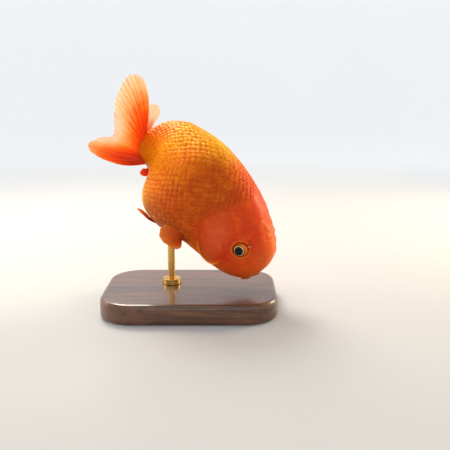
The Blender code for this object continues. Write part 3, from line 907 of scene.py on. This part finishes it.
def finSurface(fin, across, reach):
    rays, root, pairs = (np.array(fin[key]) for key in ("rays", "root", "lengths"))
    rays = unit(rays)
    foot = root[0] + (root[1] - root[0]) * across[:, None]
    bent = across + fin["closing"] * (1 - 2 * across) * reach**2
    direction = unit(spline(rays, 2 * bent))
    length = spline(pairs[:, 1], np.interp(across, pairs[:, 0], np.arange(len(pairs))))
    sideways = unit(np.cross(rays[0], rays[1]) + np.cross(rays[1], rays[2]))
    if sideways[1] > 0:  # it should point away from the fish
        sideways = -sideways
    (large, largeCount), (small, smallCount) = fin["ripple"], fin["folds"]
    swell = fin["bow"] * np.sin(0.75 * math.pi * reach)
    swell = swell + large * np.sin(2 * math.pi * largeCount * across) * reach**2
    swell = swell + small * np.sin(2 * math.pi * smallCount * across + 3 * reach) * reach**1.5
    return foot + direction * (length * reach)[:, None] + sideways * swell[:, None]


def rayRidge(fin, across, reach):
    place = across * fin["rayCount"]
    off = place - np.rint(place)
    fork = 0.24 * ease(0.32, 0.80, reach)
    wide = 0.17 - 0.05 * reach
    return np.clip(hump(off, fork, wide) + hump(off, -fork, wide), 0, 1)


def makeFinFinish(name, tones, rootOpacity, tipOpacity, count, fork=None):
    made, tree, shader = newFinish(
        name, Roughness=0.42, Specular_IOR_Level=0.25, Coat_Weight=0.04, Coat_Roughness=0.25,
    )
    across, reach = mapPlace(tree, "rayMap")
    ridge = stored(tree, "ridge")
    shifted = drifting(tree, reach, grain(tree, objectPlace(tree), 110.0, 4.0, 0.6), 0.30)
    if fork:  # paler towards the notch between the lobes
        notch = calc(tree, "ABSOLUTE", calc(tree, "SUBTRACT", across, fork))
        shifted = calc(tree, "ADD", shifted, between(tree, notch, 0.46, 0.08, -0.04, 0.16))
        shifted = calc(tree, "ADD", shifted, between(tree, across, 0.58, 0.80, 0.0, -0.30))
    shifted = calc(tree, "ADD", shifted, times(tree, stored(tree, "pale"), 0.30))
    streak = {0: times(tree, across, count * 2.3), 1: times(tree, reach, 1.4)}
    fine = grain(tree, add(tree, "CombineXYZ", streak).outputs[0], 1.0, 3.0, 0.6)
    colour = painted(
        tree, ramp(tree, shifted, tones), finTones,
        light=between(tree, fine, 0.45, 0.75, 0.0, 0.34),
        deep=between(tree, fine, 0.50, 0.28, 0.0, 0.30),
        ray=times(tree, ridge, 0.26),
    )
    tree.links.new(colour, shader.inputs["Base Color"])
    web = between(tree, shifted, 0.25, 0.98, rootOpacity, tipOpacity)
    solid = calc(tree, "ADD", web, times(tree, ridge, 0.16), clamp=True)
    tree.links.new(solid, shader.inputs["Alpha"])
    joints = calc(tree, "SINE", times(tree, reach, 260.0))
    relief = calc(tree, "ADD", times(tree, joints, ridge, 0.25), times(tree, fine, 0.6))
    normal = bumpUp(tree, shader, relief, 0.35, 0.00012)
    glow = add(tree, "BsdfTranslucent", {"Color": colour, "Normal": normal})
    clearing = add(tree, "BsdfTransparent")
    through = add(tree, "MixShader", {0: solid, 1: clearing.outputs[0], 2: glow.outputs[0]})
    both = add(tree, "MixShader", {0: 0.50, 1: shader.outputs[0], 2: through.outputs[0]})
    tree.links.new(both.outputs[0], tree.nodes["Material Output"].inputs["Surface"])
    return made


def makeFin(fin, name, side, finish, replaced):
    bm = bmesh.new()
    columns = fin["rayCount"] * fin["perRay"]
    bmesh.ops.create_grid(bm, x_segments=columns, y_segments=fin["along"], size=1)
    bmesh.ops.solidify(bm, geom=bm.faces[:], thickness=1)
    mesh = newMesh(bm, name)
    flat = readPoints(mesh)
    across, reach = (flat[:, 0] + 1) / 2, (flat[:, 1] + 1) / 2
    outer = np.where(np.abs(flat[:, 2]) > 0.5, 1.0, -1.0)
    ridge = rayRidge(fin, across, reach)
    rayPlace = np.stack((across * fin["rayCount"] * 0.9, reach * 0, reach * 0), 1)
    ragged = membrane["ragged"] * wobble(rayPlace, 1.0, len(name))
    stretch = 1 + ease(0.80, 1.0, reach) * (ragged - membrane["notched"] * (1 - ridge))
    middle = finSurface(fin, across, reach * stretch)
    tiny = 0.004
    run = finSurface(fin, across + tiny, reach) - finSurface(fin, across - tiny, reach)
    climb = finSurface(fin, across, reach + tiny) - finSurface(fin, across, reach - tiny)
    facing = unit(np.cross(run, climb))
    web, ray = (root + (tip - root) * reach for root, tip in (membrane["web"], membrane["ray"]))
    half = web + fin["rootThick"] * ease(0.20, 0.0, reach) + ray * ridge
    inside = ease(0.0, 0.012, across) * ease(1.0, 0.988, across) * ease(1.0, 0.985, reach)
    half = half * (membrane["edge"] + (1 - membrane["edge"]) * inside)
    points = middle + facing * (outer * half)[:, None]
    if side == "left":
        points = points * (1, -1, 1)
    writePoints(mesh, toStand(points))
    pale = fin.get("pale", 0.0) * ease(0.42, 0.20, across) * ease(0.1, 0.5, reach)
    addValues(mesh, ridge=ridge, pale=pale)
    addMap(mesh, "rayMap", across, reach)
    faceOutward(mesh)
    finishPiece(mesh, finish, replaced)


tailFinish = makeFinFinish("tailMembrane", finTones["tail"], 0.98, 0.60, 20, fork=0.54)
lowFinish = makeFinFinish("lowFinMembrane", finTones["low"], 0.97, 0.84, 12)
analFinish = makeFinFinish("analMembrane", finTones["anal"], 0.98, 0.86, 7)
for side in ("right", "left"):
    lobes = [f"tail_fin_{side}_upper", f"tail_fin_{side}_lower"]
    makeFin(tailRight if side == "right" else tailLeft, f"tailFin_{side}", side, tailFinish, lobes)
    for name, fin in (("pectoral", pectoral), ("pelvic", pelvic), ("anal", anal)):
        finish = analFinish if name == "anal" else lowFinish
        makeFin(fin, f"{name}Fin_{side}", side, finish, [f"{name}_fin_{side}"])
print("fins made")


standTones = dict(
    walnut=(
        (0.28, (44, 24, 14)), (0.42, (84, 48, 27)), (0.52, (112, 68, 40)), (0.62, (78, 44, 25)),
        (0.74, (126, 80, 48)),
    ),
    fibre=(40, 20, 12), brass=(214, 170, 92), tarnish=(160, 112, 52),
)


def drawnOut(tree, where, scale, detail, roughness, **more):  # grain longer one way than another
    stretched = add(tree, "Mapping", {"Vector": where, "Scale": scale}).outputs[0]
    return grain(tree, stretched, 1.0, detail, roughness, **more)


def makeWood():
    made, tree, shader = newFinish("walnutBase", Roughness=0.35, Coat_Weight=0.45, Coat_Roughness=0.12)
    where = objectPlace(tree)
    figure = drawnOut(tree, where, (9.0, 95.0, 95.0), 5.0, 0.6, Distortion=0.6)
    fibres = drawnOut(tree, where, (60.0, 1500.0, 1500.0), 3.0, 0.6)
    fibre = between(tree, fibres, 0.45, 0.72, 0.0, 0.55)
    base = painted(tree, ramp(tree, figure, standTones["walnut"]), standTones, fibre=fibre)
    tree.links.new(base, shader.inputs["Base Color"])
    tree.links.new(between(tree, fibres, 0.3, 0.7, 0.28, 0.44), shader.inputs["Roughness"])
    bumpUp(tree, shader, fibres, 0.25, 0.0001)
    return made


def makeBrass():
    made, tree, shader = newFinish("brushedBrass", Roughness=0.28, Metallic=1.0)
    where = objectPlace(tree)
    lines = drawnOut(tree, where, (300.0, 300.0, 4000.0), 2.0, 0.5)
    tarnish = between(tree, grain(tree, where, 130.0, 4.0, 0.6), 0.45, 0.75, 0.0, 0.6)
    base = painted(tree, tint(*standTones["brass"]), standTones, tarnish=tarnish)
    tree.links.new(base, shader.inputs["Base Color"])
    tree.links.new(between(tree, lines, 0.3, 0.7, 0.20, 0.38), shader.inputs["Roughness"])
    bumpUp(tree, shader, lines, 0.2, 0.00004)
    return made


wood, brass = makeWood(), makeBrass()
for name, finish in (("stand_base", wood), ("stand_rod", brass), ("stand_collar", brass)):
    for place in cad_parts[name].material_slots:
        place.material = finish
print("stand finished")

studio = dict(
    aim=(0.021, 0.0, 0.050), distance=0.40, elevation=12, lens=53.333,
    floorRadius=1.1, sweepRadius=0.5, wall=1.0, lowered=0.00005,
    floorTones=((190, 191, 192), (196, 196, 196)), floorGlow=(0.94, 0.97, 1.0, 1.0),
    lights=(  # name, place, size, watts, colour
        ("key", (-0.16, 0.28, 0.44), 0.24, 2.7, (1.0, 0.93, 0.80)),
        ("softTop", (0.0, 0.10, 1.10), 1.10, 3.4, (1.0, 0.98, 0.96)),
        ("fill", (0.12, -0.60, 0.34), 0.50, 0.50, (1.0, 0.96, 0.92)),
        ("rimLeft", (-0.46, 0.06, 0.16), 0.22, 0.9, (1.0, 0.86, 0.66)),
        ("rimRight", (0.46, 0.22, 0.20), 0.22, 1.8, (1.0, 0.76, 0.48)),
    ),
    sky=(0.93, 0.96, 1.0), skyStrength=0.30,
)


def makeFloorFinish():
    made, tree, shader = newFinish("paleFloor", Roughness=0.8, Specular_IOR_Level=0.2)
    where = objectPlace(tree)
    first, second = (tint(*tone) for tone in studio["floorTones"])
    base = mixed(tree, grain(tree, where, 6.0, 3.0), first, second)
    tree.links.new(base, shader.inputs["Base Color"])
    far = add(tree, "VectorMath", {0: where}, operation="LENGTH").outputs["Value"]
    shader.inputs["Emission Color"].default_value = studio["floorGlow"]
    tree.links.new(between(tree, far, 0.16, 0.90, 0.02, 0.54), shader.inputs["Emission Strength"])
    return made


def makeFloor():  # a round floor that sweeps up into a low wall
    r, edge = studio["sweepRadius"], studio["floorRadius"]
    turns = np.linspace(0, math.pi / 2, 13)
    sweep = [(edge + r * math.sin(a), r - r * math.cos(a)) for a in turns]
    profile = [(0.0, 0.0), *sweep, (edge + r, studio["wall"])]
    bm = bmesh.new()
    verts = [bm.verts.new((x, 0, z - studio["lowered"])) for x, z in profile]
    for first, second in zip(verts, verts[1:]):
        bm.edges.new((first, second))
    bmesh.ops.spin(
        bm, geom=bm.verts[:] + bm.edges[:], cent=(0, 0, 0), axis=(0, 0, 1), angle=2 * math.pi, steps=96,
        use_merge=True,
    )
    bmesh.ops.remove_doubles(bm, verts=bm.verts, dist=1e-6)
    bmesh.ops.recalc_face_normals(bm, faces=bm.faces)
    mesh = newMesh(bm, "floorSweep")
    mesh.shade_smooth()
    mesh.materials.append(makeFloorFinish())
    floor = bpy.data.objects.new("floorSweep", mesh)
    bpy.context.scene.collection.objects.link(floor)


def putFacing(name, data, place, aim):
    made = bpy.data.objects.new(name, data)
    made.location = place
    made.rotation_euler = (aim - Vector(place)).to_track_quat("-Z", "Y").to_euler()
    bpy.context.scene.collection.objects.link(made)
    return made


def makeStudio():
    makeFloor()
    aim = Vector(studio["aim"])
    for name, place, size, watts, colour in studio["lights"]:
        light = bpy.data.lights.new(name, "AREA")
        light.size, light.energy, light.color = size, watts, colour
        putFacing(name, light, place, aim)

    world = bpy.data.worlds.new("studioAir")
    world.use_nodes = True
    sky = world.node_tree.nodes["Background"]
    sky.inputs[0].default_value = (*studio["sky"], 1)
    sky.inputs[1].default_value = studio["skyStrength"]
    bpy.context.scene.world = world

    lens = bpy.data.cameras.new("camera")
    lens.lens, lens.sensor_width = studio["lens"], 36
    lens.clip_start, lens.clip_end = 0.01, 20
    raised = math.radians(studio["elevation"])
    back = Vector((0, -math.cos(raised), math.sin(raised))) * studio["distance"]
    bpy.context.scene.camera = putFacing("camera", lens, aim + back, aim)
    bpy.context.scene.view_settings.view_transform = "Standard"


makeStudio()
print("studio made")
